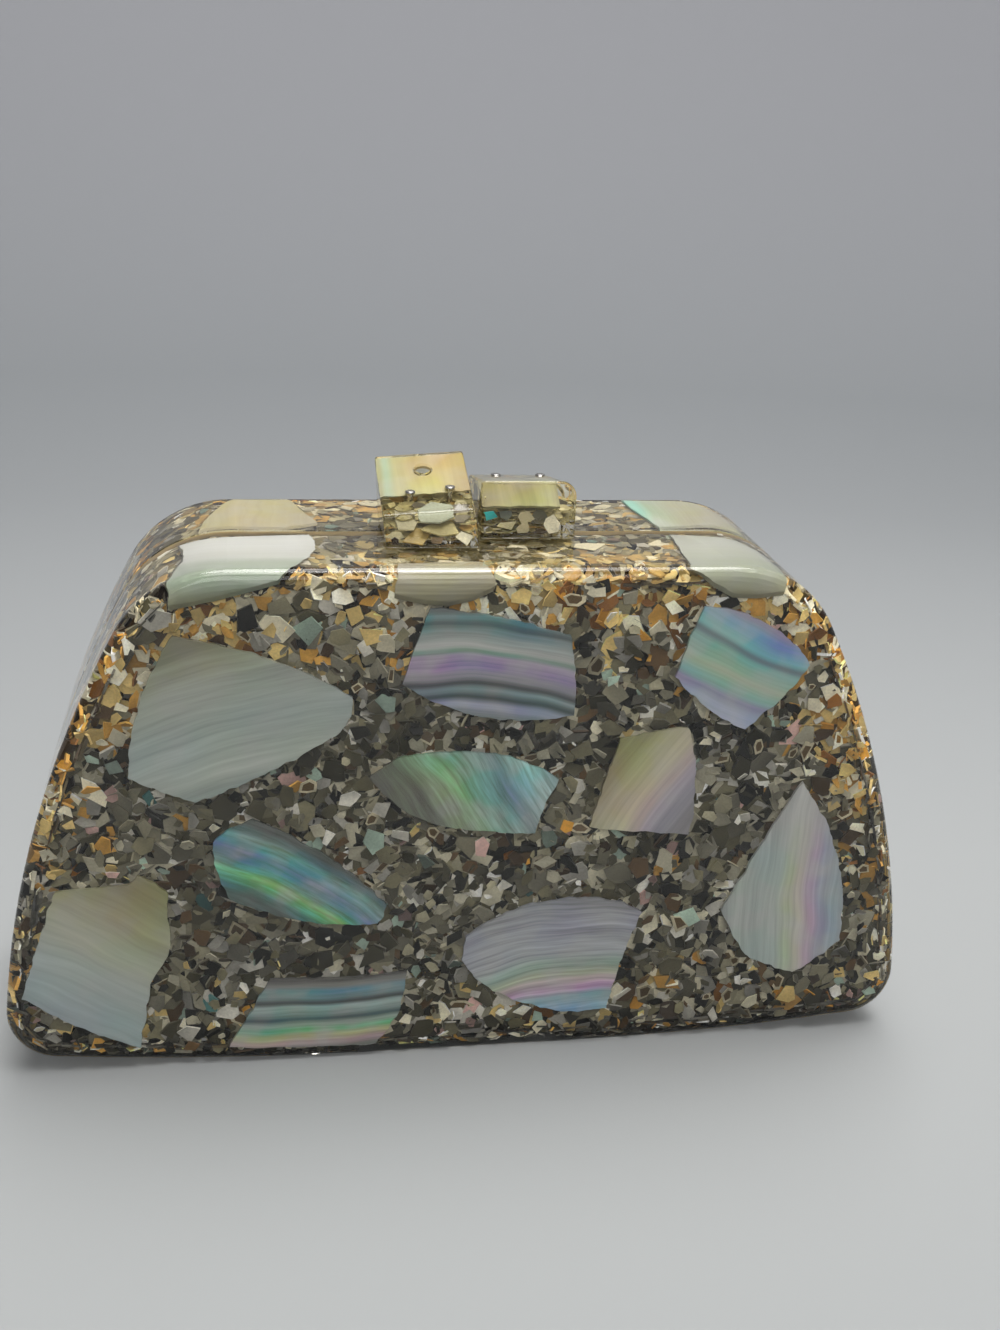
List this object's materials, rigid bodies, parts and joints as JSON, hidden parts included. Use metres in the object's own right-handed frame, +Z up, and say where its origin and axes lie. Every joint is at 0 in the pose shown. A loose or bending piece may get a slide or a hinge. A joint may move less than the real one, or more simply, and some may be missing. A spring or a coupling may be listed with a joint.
{
  "type": "evening clutch",
  "caption": "Hard evening clutch of clear resin packed with crushed shell, set with nacre pieces; two hollow halves hinge at the base and close with lapping clasp blocks.",
  "frame": {"origin": "on the flat base, under the middle of the seam", "axes": "+Z up, -Y out of the front face, +X to the right of someone facing the front"},
  "size_m": [0.1978, 0.054, 0.1286],
  "materials": {
    "resin": "polished clear cast resin full of crushed shell",
    "clasp_resin": "polished clear yellowish cast resin with shell inside",
    "mother_of_pearl": "polished mother-of-pearl under clear resin",
    "abalone": "polished abalone shell under clear resin",
    "steel": "plain steel"
  },
  "bodies": {
    "back_half": {"back_shell": "resin", "back_clasp_block": "clasp_resin", "back_clasp_pin_1": "steel", "back_clasp_pin_2": "steel", "back_hinge_leaf_left": "steel", "back_hinge_leaf_right": "steel", "back_inlay_upper_left": "mother_of_pearl", "back_inlay_upper_middle": "abalone", "back_inlay_upper_right": "abalone", "back_inlay_centre_leaf": "abalone", "back_inlay_centre_right": "mother_of_pearl", "back_inlay_lower_left": "abalone", "back_inlay_right_side": "mother_of_pearl", "back_inlay_left_corner": "mother_of_pearl", "back_inlay_base_left": "abalone", "back_inlay_base_right": "mother_of_pearl", "back_inlay_edge_left": "mother_of_pearl", "back_inlay_edge_right": "mother_of_pearl", "hinge_pin_left": "steel", "hinge_pin_right": "steel"},
    "front_half": {"front_shell": "resin", "front_clasp_block": "clasp_resin", "front_clasp_pin_1": "steel", "front_clasp_pin_2": "steel", "front_hinge_leaf_left": "steel", "front_hinge_leaf_right": "steel", "front_inlay_upper_left": "mother_of_pearl", "front_inlay_upper_middle": "abalone", "front_inlay_upper_right": "abalone", "front_inlay_centre_leaf": "abalone", "front_inlay_centre_right": "mother_of_pearl", "front_inlay_lower_left": "abalone", "front_inlay_right_side": "mother_of_pearl", "front_inlay_left_corner": "mother_of_pearl", "front_inlay_base_left": "abalone", "front_inlay_base_right": "mother_of_pearl", "front_inlay_edge_left": "mother_of_pearl", "front_inlay_edge_middle": "mother_of_pearl", "front_inlay_edge_right": "mother_of_pearl"}
  },
  "joints": [
    {"name": "front_swing", "type": "hinge", "parent": "back_half", "child": "front_half", "pos_m": [0, 0, 0.0018], "axis": [1, 0, 0], "range_deg": [0, 90]}
  ]
}
